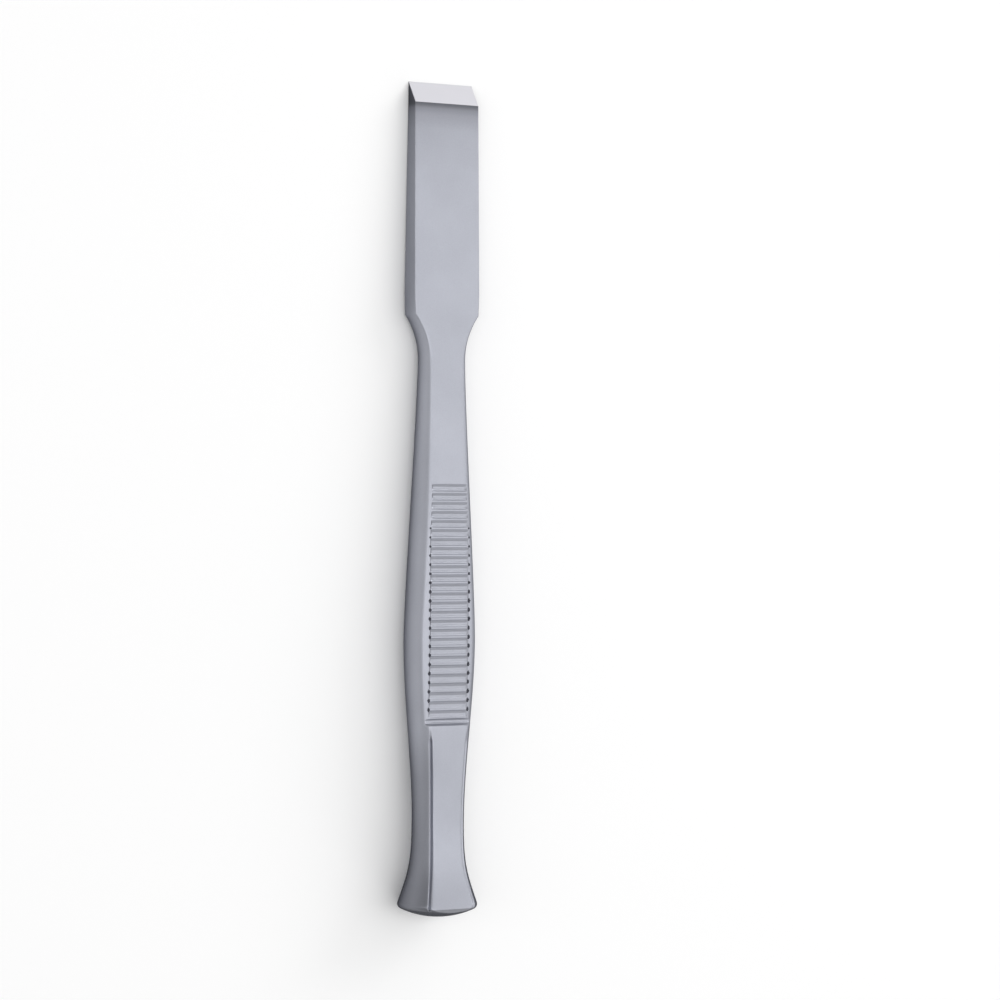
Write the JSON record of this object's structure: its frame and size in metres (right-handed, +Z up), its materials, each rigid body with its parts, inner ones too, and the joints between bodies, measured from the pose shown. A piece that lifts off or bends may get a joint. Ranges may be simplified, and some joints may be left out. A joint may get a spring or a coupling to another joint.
{
  "type": "surgical chisel",
  "caption": "Straight bone chisel forged in one piece: a flat single-bevel blade, a waisted handle with a fluted grip, and a flared, domed striking head.",
  "frame": {"origin": "centre of the bounding box's bottom, on the surface that the tool lies on", "axes": "+Y along the tool, from the striking head towards the cutting edge; +Z up, out of the bevelled face; X across the blade"},
  "size_m": [0.0164, 0.1698, 0.0138],
  "materials": {
    "satin_steel": "matte satin stainless steel, with a finer ground bevel"
  },
  "bodies": {
    "root": {"chisel": "satin_steel"}
  },
  "joints": []
}
